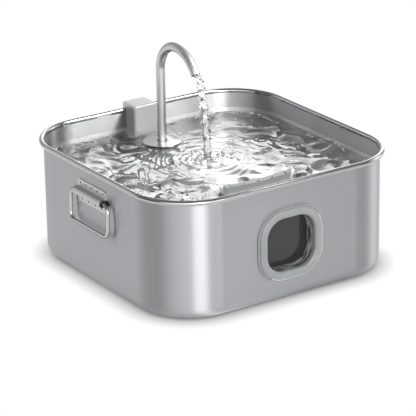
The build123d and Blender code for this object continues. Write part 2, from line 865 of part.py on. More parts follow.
def spout_flange():
    inner = pipe_radius + disc_gap
    low = flange_z
    mid = low + disc_skirt
    rim_mid = mid + disc_sheet / 2
    disc = turned([
        (inner, mid + disc_crown),
        (neck_radius, mid + disc_crown),
        (disc_radius - disc_sheet, mid),
        (disc_radius - disc_sheet, mid + disc_sheet),
        (neck_radius, mid + disc_crown + disc_sheet),
        (inner, mid + disc_crown + disc_sheet),
    ])
    edge = Pos(0, 0, rim_mid) * Torus(disc_radius - disc_sheet, disc_bead)
    skirt = tube(neck_radius, neck_radius - disc_sheet, low, mid + disc_crown + disc_sheet / 2)
    return Pos(0, spout_y, 0) * (disc + edge + skirt)


def spout_pipe():
    rise = Line((spout_y, pipe_foot), (spout_y, riser_height))
    arch = JernArc(rise @ 1, rise % 1, arch_radius, 90)
    fall = JernArc(arch @ 1, arch % 1, fall_radius, fall_angle)
    tail = Line(fall @ 1, fall @ 1 + (fall % 1) * outlet_run)
    path = Plane.YZ * (Curve() + [rise, arch, fall, tail])
    ring = Circle(pipe_radius) - Circle(pipe_radius - pipe_wall)
    return sweep(Pos(0, spout_y, pipe_foot) * ring, path)


# ---- filter well and cassette ----
def filter_well():
    outer = RectangleRounded(well_width, well_depth, cassette_corner + shell)
    body = extrude(outer, well_top - base_top)
    body = fillet(body.edges().group_by(Axis.Z)[-1], well_lip_round)
    pocket = RectangleRounded(cassette_width + 2 * fit, cassette_depth + 2 * fit, cassette_corner + fit)
    body -= extrude(pocket, well_top - base_top)
    port_width = duct_width - 2 * shell
    port_height = duct_height - shell
    body -= Pos(0, well_depth / 2, port_height / 2) * Box(port_width, 3 * shell, port_height)
    return Pos(0, filter_y, base_top) * body


def cassette_slots(depth):
    """Upright slots that let the water through, as cutters along Y."""
    slot = Plane.XZ * (Rot(Z=90) * SlotOverall(slot_length, slot_width))
    cutter = extrude(slot, depth, both=True)
    middle = (slot_count - 1) / 2
    return [Pos(slot_pitch * (k - middle), 0, 0) * cutter for k in range(slot_count)]


def cassette_block():
    """The cassette's whole outer form, between its foot and the grip's seat."""
    outline = RectangleRounded(cassette_width, cassette_depth, cassette_corner)
    block = extrude(outline, cassette_top - cassette_bottom)
    return Pos(0, filter_y, cassette_bottom) * block


def cassette_back_slab():
    """The slice of the outer form that comes off as the back."""
    height = cassette_top - cassette_bottom
    place_y = filter_y + cassette_depth / 2 - cassette_shell / 2
    return Pos(0, place_y, cassette_middle) * Box(cassette_width, cassette_shell, height)


def filter_box():
    inner_height = cassette_top - cassette_bottom - 2 * cassette_shell
    hollow = Box(cassette_inner_width, cassette_inner_depth, inner_height)
    body = cassette_block() - cassette_back_slab() - Pos(0, filter_y, cassette_middle) * hollow
    for cutter in cassette_slots(cassette_shell):
        body -= Pos(0, filter_y - cassette_depth / 2, cassette_middle) * cutter
    return body


def filter_back():
    body = cassette_block() & cassette_back_slab()
    for cutter in cassette_slots(cassette_shell):
        body -= Pos(0, filter_y + cassette_depth / 2, cassette_middle) * cutter
    return body


def filter_pad():
    """A three-lobed pad with a crease pressed along each lobe."""
    thick = cassette_inner_depth - 2 * fit
    outline = Circle(pad_spread)
    for turn in (90, 210, 330):
        outline += Rot(Z=turn) * Pos(pad_spread, 0) * Circle(pad_lobe)
    pad = extrude(outline, thick / 2, both=True)
    pad = fillet(pad.edges().group_by(Axis.Z)[-1] + pad.edges().group_by(Axis.Z)[0], pad_round)
    for turn in (90, 210, 330):
        crease = Rot(Z=turn) * Pos(pad_spread, 0, thick / 2) * Box(crease_length, crease_depth, crease_depth)
        pad -= crease
    return Pos(0, filter_y, cassette_middle) * Rot(X=90) * pad


def grip_scoop():
    """A wide cylinder along Y that dips the bar's top by scoop_dip in its middle."""
    radius = (scoop_chord ** 2 / 4 + scoop_dip ** 2) / (2 * scoop_dip)
    return Pos(0, filter_y, grip_top - scoop_dip + radius) * Rot(X=90) * Cylinder(radius, 2 * cassette_depth)


def grip_vents():
    """Small blind holes along the top's front edge."""
    middle = (vent_count - 1) / 2
    vent_y = grip_front + grip_round + vent_radius
    hole = tube(vent_radius, 0, grip_top - scoop_dip - vent_depth, grip_top + past)
    return [Pos(vent_pitch * (k - middle), vent_y, 0) * hole for k in range(vent_count)]


def filter_grip():
    sill_corner = grip_corner + grip_overhang
    sill_shape = RectangleRounded(grip_width + 2 * grip_overhang, sill_depth + 2 * grip_overhang, sill_corner)
    sill = Pos(0, filter_y, cassette_top) * extrude(sill_shape, grip_sill)
    bar = extrude(RectangleRounded(grip_width, grip_depth, grip_corner), grip_height)
    bar = fillet(bar.edges().group_by(Axis.Z)[-1], grip_round)
    hollow_height = grip_height - grip_wall - scoop_dip
    hollow = Box(
        grip_width - 2 * grip_wall, grip_depth - 2 * grip_wall, hollow_height,
        align=(Align.CENTER, Align.CENTER, Align.MIN),
    )
    place = Pos(0, grip_y, cassette_top)
    body = sill + place * bar - place * hollow - grip_scoop()
    for hole in grip_vents():
        body -= hole
    return body


pieces = {
    "tub_shell": tub_shell(),
    "window_bezel": window_bezel(),
    "window_gasket": window_gasket(),
    "window_pane": window_pane(),
    "window_clamp_ring": window_clamp_ring(),
    "window_screws": window_screws(),
    "handle_bracket_left": handle_bracket(-1),
    "handle_bracket_right": handle_bracket(1),
    "handle_bushes_left": handle_bushes(-1),
    "handle_bushes_right": handle_bushes(1),
    "handle_bail_left": handle_bail(-1),
    "handle_bail_right": handle_bail(1),
    "cord_cover": cord_cover(),
    "cord_grommet": cord_grommet(),
    "pump_base": pump_base(),
    "pump_cover": pump_cover(),
    "base_screws": base_screws(),
    "suction_cups": suction_cups(),
    "lead_gland": lead_gland(),
    "motor_case": motor_case(),
    "volute_cover": volute_cover(),
    "impeller": impeller(),
    "rotor_magnet": rotor_magnet(),
    "rotor_shaft": rotor_shaft(),
    "foam_prefilter": foam_prefilter(),
    "riser_tube": riser_tube(),
    "spout_socket": spout_socket(),
    "spout_oring": spout_oring(),
    "spout_collar": spout_collar(),
    "spout_flange": spout_flange(),
    "spout_pipe": spout_pipe(),
    "filter_well": filter_well(),
    "filter_box": filter_box(),
    "filter_back": filter_back(),
    "filter_pad": filter_pad(),
    "filter_grip": filter_grip(),
}

os.makedirs("parts", exist_ok=True)
for name, shape in pieces.items():
    solids = shape if isinstance(shape, list) else [shape]
    bodies = [solid for piece in solids for solid in piece.solids()]
    node = bodies[0] if len(bodies) == 1 else Compound(children=bodies)
    node.label = name
    export_step(node, f"parts/{name}.step")
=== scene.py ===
import bmesh
import bpy
import numpy as np
from math import radians
from mathutils import Matrix, Vector


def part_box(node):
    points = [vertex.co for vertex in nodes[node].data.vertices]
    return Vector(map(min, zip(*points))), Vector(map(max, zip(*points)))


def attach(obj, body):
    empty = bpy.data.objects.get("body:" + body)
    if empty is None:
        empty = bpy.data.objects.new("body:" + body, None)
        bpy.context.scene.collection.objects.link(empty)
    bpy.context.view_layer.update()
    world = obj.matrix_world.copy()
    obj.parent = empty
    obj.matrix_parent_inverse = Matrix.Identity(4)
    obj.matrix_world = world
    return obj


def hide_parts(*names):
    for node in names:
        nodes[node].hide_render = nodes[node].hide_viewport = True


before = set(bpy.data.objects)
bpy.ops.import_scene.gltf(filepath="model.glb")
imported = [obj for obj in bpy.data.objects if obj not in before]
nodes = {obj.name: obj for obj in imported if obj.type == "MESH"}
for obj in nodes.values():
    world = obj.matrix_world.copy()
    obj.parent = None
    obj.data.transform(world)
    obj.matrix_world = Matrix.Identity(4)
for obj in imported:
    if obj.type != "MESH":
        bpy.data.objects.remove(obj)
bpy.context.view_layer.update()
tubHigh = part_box("tub_shell")[1]
discLow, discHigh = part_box("spout_flange")
pipeLow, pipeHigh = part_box("spout_pipe")
spoutY = (discLow.y + discHigh.y) / 2
print("fountain: frame loaded with", len(nodes), "nodes")

camera = {
    "place": (-1.31655, -1.99685, 0.96479),
    "turn": 33.312,  # degrees from +Y towards +X
    "dip": 20.801,  # degrees below the horizon
    "roll": 0.947,
    "lens": 201.5,
    "sensor": 36.0,
    "clip": (0.05, 40),
}


def addCamera():
    data = bpy.data.cameras.new("camera")
    data.lens = camera["lens"]
    data.sensor_width = camera["sensor"]
    data.clip_start, data.clip_end = camera["clip"]
    item = bpy.data.objects.new("camera", data)
    bpy.context.scene.collection.objects.link(item)
    turn = Matrix.Rotation(radians(-camera["turn"]), 4, "Z")
    dip = Matrix.Rotation(radians(90 - camera["dip"]), 4, "X")
    roll = Matrix.Rotation(radians(-camera["roll"]), 4, "Z")
    item.matrix_world = Matrix.Translation(camera["place"]) @ turn @ dip @ roll
    bpy.context.scene.camera = item


# Node tree helpers: addNode links a socket that it is given and sets any other value.
def addNode(tree, kind, inputs=None, **settings):
    made = tree.nodes.new("ShaderNode" + kind)
    for key, value in settings.items():
        setattr(made, key, value)
    for key, value in (inputs or {}).items():
        if isinstance(value, bpy.types.NodeSocket):
            tree.links.new(value, made.inputs[key])
        else:
            made.inputs[key].default_value = value
    return made


def maths(tree, operation, first, second=0.0):
    return addNode(tree, "Math", {0: first, 1: second}, operation=operation).outputs[0]


def mixed(tree, share, first, second, kind="FLOAT"):
    a, b, result = {"FLOAT": (2, 3, 0), "RGBA": (6, 7, 2)}[kind]
    return addNode(tree, "Mix", {0: share, a: first, b: second}, data_type=kind).outputs[result]


def emptyMaterial(name):
    made = bpy.data.materials.new(name)
    made.use_nodes = True
    made.node_tree.nodes.clear()
    return made, made.node_tree


def closeMaterial(tree, shader):
    output = addNode(tree, "OutputMaterial")
    tree.links.new(shader.outputs[0], output.inputs["Surface"])


def objectPoint(tree, scale=(1, 1, 1), shift=(0, 0, 0)):
    coord = addNode(tree, "TexCoord")
    values = {"Vector": coord.outputs["Object"], "Scale": scale, "Location": shift}
    return addNode(tree, "Mapping", values).outputs[0]


noiseSpan = (0.3, 0.7)  # a noise seldom leaves this part of 0 to 1, so it is read from here


def noise(tree, vector, scale, detail=3.0, roughness=0.55):
    values = {"Vector": vector, "Scale": scale, "Detail": detail, "Roughness": roughness}
    return addNode(tree, "TexNoise", values).outputs["Fac"]


def ranged(tree, value, low, high, toLow, toHigh):
    values = {"Value": value, "From Min": low, "From Max": high, "To Min": toLow, "To Max": toHigh}
    return addNode(tree, "MapRange", values).outputs[0]


def ramp(tree, value, stops):
    made = addNode(tree, "ValToRGB", {"Fac": value})
    elements = made.color_ramp.elements
    while len(elements) < len(stops):
        elements.new(0.5)
    for element, (place, color) in zip(elements, stops):
        element.position = place
        element.color = (*color, 1)
    return made.outputs["Color"]


def bumpOf(tree, height, strength, distance):
    values = {"Height": height, "Strength": strength, "Distance": distance}
    return addNode(tree, "Bump", values).outputs[0]


def tinted(color, factor):
    return tuple(min(1, c * factor) for c in color)


def toned(tree, value, color, dull, bright, span=noiseSpan):
    return ramp(tree, value, [(span[0], tinted(color, dull)), (span[1], tinted(color, bright))])


# Brushed sheet: noise drawn out along the grain moves the tone, the roughness and a fine bump.
# "stretch" spreads a light across the grain, and "turned" is the grain's turn from level, in turns.
# "edge" is a painted dark outline: the dark tint of what is mirrored along the outline.
steels = {
    "strap_steel": {
        "color": (0.52, 0.525, 0.53), "rough": (0.26, 0.36), "grain": (500, 90, 900),
        "stretch": 0.3, "turned": 0.25, "tone": 0.05, "bump": 0.08,
    },
    "wire_steel": {
        "color": (0.56, 0.565, 0.57), "rough": (0.12, 0.18), "grain": (700, 90, 700),
        "stretch": 0.0, "turned": 0.0, "tone": 0.04, "bump": 0.05, "edge": 0.10,
    },
    "spout_steel": {
        "color": (0.74, 0.745, 0.755), "rough": (0.38, 0.44), "grain": (900, 900, 60),
        "stretch": 0.0, "turned": 0.0, "tone": 0.04, "bump": 0.04, "edge": 0.12,
    },
    "disc_steel": {
        "color": (0.70, 0.705, 0.71), "rough": (0.16, 0.22), "grain": (300, 300, 300),
        "stretch": 0.0, "turned": 0.0, "tone": 0.03, "bump": 0.03,
    },
    "screw_steel": {
        "color": (0.55, 0.55, 0.56), "rough": (0.18, 0.3), "grain": (400, 400, 400),
        "stretch": 0.0, "turned": 0.0, "tone": 0.06, "bump": 0.08,
    },
}
grainDepth = 0.00002


# Round marks of one shade at every pitch along a line: the way along is folded at half a pitch, and a
# mark is where sqrt(folded^2 + across^2) < radius.
def spotted(tree, color, along, across, pitch, radius, shade):
    folded = maths(tree, "PINGPONG", along, pitch / 2)
    square = maths(tree, "ADD", maths(tree, "POWER", folded, 2), maths(tree, "POWER", across, 2))
    within = maths(tree, "LESS_THAN", maths(tree, "SQRT", square), radius)
    return mixed(tree, within, color, (shade, shade, shade, 1), "RGBA")


# Painted light at the strap's weld dents: a painted highlight ring round painted shade in each dent.
welds = {
    "height": 0.1035,
    "rows": ((0.0087, 0.01125, 0.0), (-0.0087, 0.01333, 0.5)),  # height, pitch and start in pitches
    "paintedRingAndPit": ((0.0023, 0.80), (0.0015, 0.07)),  # radius and shade of the painted highlight ring and of the painted shade in the pit
}
# Painted shade in the grip's vent holes: a dark colour inside each hole.
vents = {"y": -0.0912, "pitch": 0.01785, "radius": 0.0013, "shade": 0.03}


def weldDentShading(tree, color):
    parts = addNode(tree, "SeparateXYZ", {0: addNode(tree, "TexCoord").outputs["Object"]})
    for height, pitch, start in welds["rows"]:
        along = maths(tree, "ADD", parts.outputs["Y"], pitch * start)
        across = maths(tree, "SUBTRACT", parts.outputs["Z"], welds["height"] + height)
        for radius, shade in welds["paintedRingAndPit"]:
            color = spotted(tree, color, along, across, pitch, radius, shade)
    return color


def ventHoleShade(tree, color):
    parts = addNode(tree, "SeparateXYZ", {0: addNode(tree, "TexCoord").outputs["Object"]})
    across = maths(tree, "SUBTRACT", parts.outputs["Y"], vents["y"])
    along = parts.outputs["X"]
    return spotted(tree, color, along, across, vents["pitch"], vents["radius"], vents["shade"])


# The spout's disc has painted shade on its sides, where the normal's z is under "steepFrom", and looks
# dished: a bump of height curve^2 (x^2 + (y - spoutY)^2) turns its normals.
disc = {"steepFrom": 0.6, "side": (0.10, 0.10, 0.105), "curve": 0.7}


def discSideShade(tree, color):
    facing = addNode(tree, "SeparateXYZ", {0: addNode(tree, "NewGeometry").outputs["True Normal"]})
    steep = maths(tree, "LESS_THAN", facing.outputs["Z"], disc["steepFrom"])
    return mixed(tree, steep, color, (*disc["side"], 1), "RGBA")


def discDish(tree):
    curve = disc["curve"]
    spread = objectPoint(tree, (curve, curve, 0), (0, -curve * spoutY, 0))
    square = addNode(tree, "VectorMath", {0: spread, 1: spread}, operation="DOT_PRODUCT")
    return bumpOf(tree, square.outputs["Value"], 1.0, 1.0)


def steelMaterial(name):
    values = steels[name]
    made, tree = emptyMaterial(name)
    grain = noise(tree, objectPoint(tree, values["grain"]), 1.0, 4.0)
    color = toned(tree, grain, values["color"], 1 - values["tone"], 1 + values["tone"])
    if name == "strap_steel":
        color = weldDentShading(tree, color)
    # painted shade on the disc's sides
    if name == "disc_steel":
        color = discSideShade(tree, color)
    rough = ranged(tree, grain, *noiseSpan, *values["rough"])
    shader = addNode(tree, "BsdfPrincipled", {"Base Color": color, "Roughness": rough, "Metallic": 1.0})
    # painted shade: a dark tint on what the outline mirrors
    shader.inputs["Specular Tint"].default_value = (*[values.get("edge", 1.0)] * 3, 1)
    shader.inputs["Anisotropic"].default_value = values["stretch"]
    shader.inputs["Anisotropic Rotation"].default_value = values["turned"]
    if values["stretch"]:
        tangent = addNode(tree, "Tangent", direction_type="RADIAL", axis="Z")
        tree.links.new(tangent.outputs[0], shader.inputs["Tangent"])
    fine = bumpOf(tree, grain, values["bump"], grainDepth)
    if name == "disc_steel":
        tree.links.new(discDish(tree), fine.node.inputs["Normal"])
    tree.links.new(fine, shader.inputs["Normal"])
    closeMaterial(tree, shader)
    return made


# Moulded plastic: a slow noise moves the tone and the roughness, and a fine one pits the surface.
plastics = {
    "bezel_plastic": {"color": (0.35, 0.368, 0.373), "rough": (0.20, 0.28), "pit": 2600, "bump": 0.06},
    "grip_plastic": {
        "color": (0.70, 0.715, 0.72), "rough": (0.70, 0.80), "pit": 2600, "bump": 0.10, "gloss": 0.0,
    },
    "cover_plastic": {
        "color": (0.68, 0.69, 0.695), "rough": (0.10, 0.14), "pit": 2600, "bump": 0.05, "gloss": 0.8,
    },
    "grey_plastic": {"color": (0.35, 0.368, 0.373), "rough": (0.42, 0.52), "pit": 2600, "bump": 0.12},
    "black_plastic": {"color": (0.015, 0.015, 0.016), "rough": (0.35, 0.5), "pit": 2200, "bump": 0.15},
    "white_plastic": {"color": (0.78, 0.78, 0.76), "rough": (0.25, 0.36), "pit": 2400, "bump": 0.08},
    "dark_rubber": {"color": (0.03, 0.03, 0.032), "rough": (0.5, 0.68), "pit": 1500, "bump": 0.2},
    "silicone": {"color": (0.68, 0.69, 0.68), "rough": (0.3, 0.45), "pit": 900, "bump": 0.08},
    "magnet": {"color": (0.05, 0.05, 0.055), "rough": (0.3, 0.45), "pit": 3500, "bump": 0.25},
    "ceramic": {"color": (0.8, 0.79, 0.75), "rough": (0.08, 0.16), "pit": 5000, "bump": 0.05},
}
pitDepth = 0.00003
cloudScale = 45.0
cloudTones = (0.96, 1.03)

# A painted highlight on the window frame's outer edge, on its lower right only: a bright, metallic, smooth
# finish on faces that look outward, whose normal's y is within "steepest" of 0, where x - z from the
# frame's middle is over "from".
lipGlint = {"steepest": 0.95, "from": 0.008, "shade": 0.8, "rough": 0.08}


def lipGlintShare(tree):
    low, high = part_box("window_bezel")
    middle = [(low[i] + high[i]) / 2 for i in range(3)]
    place = addNode(tree, "SeparateXYZ", {0: objectPoint(tree, shift=[-m for m in middle])})
    facing = addNode(tree, "SeparateXYZ", {0: addNode(tree, "NewGeometry").outputs["True Normal"]})
    steep = maths(tree, "LESS_THAN", maths(tree, "ABSOLUTE", facing.outputs["Y"]), lipGlint["steepest"])
    across = maths(tree, "MULTIPLY", place.outputs["X"], facing.outputs["X"])
    along = maths(tree, "MULTIPLY", place.outputs["Z"], facing.outputs["Z"])
    outward = maths(tree, "GREATER_THAN", maths(tree, "ADD", across, along), 0.0)
    lowRight = maths(tree, "SUBTRACT", place.outputs["X"], place.outputs["Z"])
    lowRight = maths(tree, "GREATER_THAN", lowRight, lipGlint["from"])
    return maths(tree, "MULTIPLY", maths(tree, "MULTIPLY", steep, outward), lowRight)


def plasticMaterial(name):
    values = plastics[name]
    made, tree = emptyMaterial(name)
    point = objectPoint(tree)
    pits = noise(tree, point, values["pit"], 2.0)
    cloud = noise(tree, point, cloudScale, 3.0)
    color = toned(tree, cloud, values["color"], *cloudTones)
    rough = ranged(tree, cloud, *noiseSpan, *values["rough"])
    glint = 0.0
    if name == "grip_plastic":
        color = ventHoleShade(tree, color)
    if name == "bezel_plastic":
        # the painted highlight on the frame's lower right outer edge
        glint = lipGlintShare(tree)
        color = mixed(tree, glint, color, (*[lipGlint["shade"]] * 3, 1), "RGBA")
        rough = mixed(tree, glint, rough, lipGlint["rough"])
    shader = addNode(tree, "BsdfPrincipled", {"Base Color": color, "Roughness": rough, "Metallic": glint})
    shader.inputs["Specular IOR Level"].default_value = values.get("gloss", 0.5)
    tree.links.new(bumpOf(tree, pits, values["bump"], pitDepth), shader.inputs["Normal"])
    closeMaterial(tree, shader)
    return made


# Clear things let light through: one noise tints them and ripples what they show. They are mirror-smooth.
# "edge" is painted shade on a thick one: how dark its colour is made towards its outline, over the part of
# "facing" given below.
clears = {
    "stream": {"tint": (0.97, 0.98, 0.985), "wave": 300.0, "bump": 0.12, "edge": 0.10},
    "water": {"tint": (0.95, 0.965, 0.97), "wave": 140.0, "bump": 0.03},
    "bubble": {"tint": (0.98, 0.985, 0.99), "wave": 900.0, "bump": 0.05, "edge": 0.15, "clear": 0.55},
}
outlineShadeFacing = (0.50, 0.88)
clearTones = (0.95, 1.0)
waveDepth = 0.0004
waterIor = 1.33


def clearMaterial(name):
    values = clears[name]
    made, tree = emptyMaterial(name)
    cloud = noise(tree, objectPoint(tree), values["wave"], 2.0)
    color = toned(tree, cloud, values["tint"], *clearTones)
    if "edge" in values:
        # painted shade: a darker colour towards the outline
        facing = addNode(tree, "LayerWeight", {"Blend": 0.5}).outputs["Facing"]
        dark = tinted(values["tint"], values["edge"])
        color = mixed(tree, ranged(tree, facing, *outlineShadeFacing, 0.0, 1.0), color, (*dark, 1), "RGBA")
    shader = addNode(tree, "BsdfPrincipled", {"Base Color": color, "IOR": waterIor, "Roughness": 0.0})
    shader.inputs["Transmission Weight"].default_value = values.get("clear", 1.0)
    tree.links.new(bumpOf(tree, cloud, values["bump"], waveDepth), shader.inputs["Normal"])
    closeMaterial(tree, shader)
    return made


# The tub's sheet: satin outside and polished along its rim. Painted light: the same steel is given a
# brighter colour inside, brighter still under water and near the floor, with a painted bright band just
# above the water.
tubFinish = {
    "outside": {"color": (0.51, 0.515, 0.533), "rough": 0.42},
    "inside": {"color": (0.60, 0.605, 0.61), "rough": 0.36},
    "sunk": {"color": (0.78, 0.785, 0.79), "rough": 0.32},
    "floor": {"color": (0.80, 0.805, 0.81), "rough": 0.22},
    "paintedBand": {"color": (0.88, 0.885, 0.89), "rough": 0.30},  # painted light: a bright band just above the water
    "rim": {"color": (0.48, 0.485, 0.49), "rough": 0.09},
    "sunkTop": 0.1072,  # heights where each part starts or ends, and the painted band's middle and half width
    "paintedBandAt": 0.1100,
    "paintedBandReach": 0.0022,
    "floorTop": 0.016,
    "rimFrom": 0.1300,
    "upFrom": 0.5,  # the normal's z over which a face looks up
    "grain": (40, 40, 2600),
    "tone": 0.02,
    "uneven": 0.02,  # how far the grain moves the roughness
    "bump": 0.05,
    "turned": 0.25,
}


def tubMaterial():
    made, tree = emptyMaterial("tub_steel")
    place = addNode(tree, "SeparateXYZ", {0: addNode(tree, "TexCoord").outputs["Object"]})
    facing = addNode(tree, "SeparateXYZ", {0: addNode(tree, "NewGeometry").outputs["True Normal"]})
    across = maths(tree, "MULTIPLY", place.outputs["X"], facing.outputs["X"])
    along = maths(tree, "MULTIPLY", place.outputs["Y"], facing.outputs["Y"])
    inward = maths(tree, "LESS_THAN", maths(tree, "ADD", across, along), 0.0)
    upward = maths(tree, "GREATER_THAN", facing.outputs["Z"], tubFinish["upFrom"])
    inside = maths(tree, "MAXIMUM", inward, upward)
    nearFloor = maths(tree, "LESS_THAN", place.outputs["Z"], tubFinish["floorTop"])
    low = maths(tree, "MULTIPLY", inside, nearFloor)
    rim = maths(tree, "GREATER_THAN", place.outputs["Z"], tubFinish["rimFrom"])
    grain = noise(tree, objectPoint(tree, tubFinish["grain"]), 1.0, 4.0)
    color = (*tubFinish["outside"]["color"], 1)
    rough = tubFinish["outside"]["rough"]
    band = {0: place.outputs["Z"], 1: tubFinish["paintedBandAt"], 2: tubFinish["paintedBandReach"]}
    paintedBand = maths(tree, "MULTIPLY", inside, addNode(tree, "Math", band, operation="COMPARE").outputs[0])
    belowWater = maths(tree, "LESS_THAN", place.outputs["Z"], tubFinish["sunkTop"])
    sunk = maths(tree, "MULTIPLY", inside, belowWater)
    # Painted light: the inside, under-water, floor and band colours make the same steel brighter there than
    # outside.
    for share, part in ((inside, "inside"), (sunk, "sunk"), (low, "floor"), (paintedBand, "paintedBand"), (rim, "rim")):
        color = mixed(tree, share, color, (*tubFinish[part]["color"], 1), "RGBA")
        rough = mixed(tree, share, rough, tubFinish[part]["rough"])
    tone = ranged(tree, grain, *noiseSpan, 1 - tubFinish["tone"], 1 + tubFinish["tone"])
    scaled = addNode(tree, "VectorMath", {0: color}, operation="SCALE")
    tree.links.new(tone, scaled.inputs["Scale"])
    uneven = tubFinish["uneven"]
    rough = maths(tree, "ADD", rough, ranged(tree, grain, *noiseSpan, -uneven, uneven))
    values = {"Base Color": scaled.outputs[0], "Roughness": rough, "Metallic": 1.0}
    shader = addNode(tree, "BsdfPrincipled", values)
    tree.links.new(maths(tree, "SUBTRACT", 1.0, rim), shader.inputs["Anisotropic"])
    shader.inputs["Anisotropic Rotation"].default_value = tubFinish["turned"]
    tangent = addNode(tree, "Tangent", direction_type="RADIAL", axis="Z")
    tree.links.new(tangent.outputs[0], shader.inputs["Tangent"])
    tree.links.new(bumpOf(tree, grain, tubFinish["bump"], grainDepth), shader.inputs["Normal"])
    closeMaterial(tree, shader)
    return made


# The window's pocket of smoked plastic: its flat back is even and dark, and its sides get painted
# reflections, lighter streaks in their colour.
windowFinish = {
    "flatFrom": 0.9,  # the normal's y over which a face is part of the back
    "back": (0.075, 0.077, 0.084),
    "sideReflections": [(0.42, (0.12, 0.12, 0.125)), (0.62, (0.75, 0.75, 0.76))],
    "streakScale": (70, 420, 70),
    "streakBump": (0.2, 0.0003),
    "clearBack": 0.55,
    "clearSides": 0.25,
    "rough": 0.10,
    "ior": 1.49,
}


def windowMaterial():
    made, tree = emptyMaterial("clear_window")
    facing = addNode(tree, "SeparateXYZ", {0: addNode(tree, "NewGeometry").outputs["True Normal"]})
    depthwise = maths(tree, "ABSOLUTE", facing.outputs["Y"])
    flat = maths(tree, "GREATER_THAN", depthwise, windowFinish["flatFrom"])
    streak = noise(tree, objectPoint(tree, windowFinish["streakScale"]), 1.0, 2.0)
    back = (*windowFinish["back"], 1)
    # the sides' streaked colour is painted reflection
    color = mixed(tree, flat, ramp(tree, streak, windowFinish["sideReflections"]), back, "RGBA")
    clear = mixed(tree, flat, windowFinish["clearSides"], windowFinish["clearBack"])
    shader = addNode(tree, "BsdfPrincipled", {"Base Color": color, "Transmission Weight": clear})
    shader.inputs["Roughness"].default_value = windowFinish["rough"]
    shader.inputs["IOR"].default_value = windowFinish["ior"]
    tree.links.new(bumpOf(tree, streak, *windowFinish["streakBump"]), shader.inputs["Normal"])
    closeMaterial(tree, shader)
    return made


finishOf = {
    "tub_steel": ["tub_shell"],
    "strap_steel": ["handle_bracket_left", "handle_bracket_right"],
    "wire_steel": ["handle_bail_left", "handle_bail_right"],
    "spout_steel": ["spout_pipe"],
    "disc_steel": ["spout_flange"],
    "screw_steel": ["window_screws", "base_screws"],
    "cover_plastic": ["cord_cover"],
    "bezel_plastic": ["window_bezel"],
    "grip_plastic": ["filter_grip"],
    "grey_plastic": [
        "window_clamp_ring", "pump_base", "pump_cover", "spout_socket", "filter_well", "filter_box",
        "filter_back",
    ],
    "black_plastic": [
        "motor_case", "volute_cover", "handle_bushes_left", "handle_bushes_right", "spout_collar",
    ],
    "white_plastic": ["impeller"],
    "dark_rubber": ["window_gasket", "spout_oring", "cord_grommet", "lead_gland"],
    "silicone": ["suction_cups", "riser_tube"],
    "magnet": ["rotor_magnet"],
    "ceramic": ["rotor_shaft"],
    "clear_window": ["window_pane"],
}


def finish(name):
    if name == "tub_steel":
        return tubMaterial()
    if name == "clear_window":
        return windowMaterial()
    if name in steels:
        return steelMaterial(name)
    return plasticMaterial(name)


def dressNodes():
    for name, dressed in finishOf.items():
        material = finish(name)
        for node in dressed:
            mesh = nodes[node].data
            mesh.materials.clear()
            mesh.materials.append(material)


# Quads between neighbours of a grid whose vertex (i, j) has number i * columns + j. Each row closes up.
def gridFaces(rows, columns):
    here = columns * np.arange(rows - 1)[:, None]
    above = here + columns
    j = np.arange(columns)[None, :]
    across = (j + 1) % columns
    return np.stack([here + j, here + across, above + across, above + j], -1).reshape(-1, 4)


# A mesh from points and faces. Where closed is set, points that coincide at a pole are made one, and
# the faces look outward.
def addPiece(name, points, faces, material, closed=False):
    mesh = bpy.data.meshes.new(name)
    mesh.from_pydata(points.reshape(-1, 3).tolist(), [], faces.tolist())
    mesh.materials.append(material)
    if closed:
        work = bmesh.new()
        work.from_mesh(mesh)
        bmesh.ops.remove_doubles(work, verts=work.verts, dist=1e-7)
        bmesh.ops.recalc_face_normals(work, faces=work.faces)
        work.to_mesh(mesh)
        work.free()
    mesh.polygons.foreach_set("use_smooth", np.full(len(mesh.polygons), True))
    mesh.update()
    item = bpy.data.objects.new(name, mesh)
    bpy.context.scene.collection.objects.link(item)
    return item


water = {
    "level": 0.106,
    "rimRoll": 0.006,  # how far the rim stands out from the inner wall
    "corner": 0.0635,
    "wallGap": 0.0001,
    "landing": (0.0100, 0.0198),  # where the stream falls
    "hole": 0.0212,  # radius at the disc's edge
    "ringLength": 0.0095,
    "ringHeight": 0.00075,
    "ringFade": 0.050,
    "rippleSlope": 0.30,
    "rippleLengths": (0.018, 0.070),
    "rippleCount": 30,
    "seed": 11,
    "crest": 1.5,  # how much sharper a wave's crest is than its trough
    "crestMean": 0.4,  # what exp(crest (sin - 1)) is on average
    "swirl": (0.006, 0.003),  # reach of the coarse and of the fine swirl that bend the waves
    "coarseRates": (61, 57),  # in radians a metre: x is bent along y, and y along x
    "coarseStarts": (1.3, 0.4),
    "fineRates": ((143, -97), (83, 131)),  # along x and y, for the bend of x and for that of y
    "smooth": (0.60, 0.060),  # how much of the waves is lost at the landing, and over what distance
    "choppy": (0.3, 0.04),  # how much is added at the wall, and over what distance
    "wallCalm": 0.007,  # the waves die out over these distances
    "discCalm": 0.012,
    "meniscus": 0.0010,
    "meniscusReach": 0.0013,
    "dip": 1.6,  # depth of the dip beside the disc, as a share of the meniscus, and its reach
    "dipReach": 0.003,
    "around": 600,
    "across": 158,
}


# Point at a share of the way round a square with round corners, by arc length, from +Y clockwise: along
# a straight of 2 (half - corner), then round a quarter circle, and so on for each side in turn.
def roundedSquare(half, corner, share):
    straight = 2 * (half - corner)
    bend = np.pi / 2 * corner
    quarter = straight + bend
    along = (share % 1) * 4 * quarter
    side = np.floor(along / quarter)
    rest = along - side * quarter
    turned = np.clip((rest - straight) / corner, 0, np.pi / 2)
    x = np.minimum(rest, straight) - straight / 2 + corner * np.sin(turned)
    y = half - corner + corner * np.cos(turned)
    c, s = np.cos(side * np.pi / 2), np.sin(side * np.pi / 2)
    return np.stack([c * x + s * y, c * y - s * x], -1)


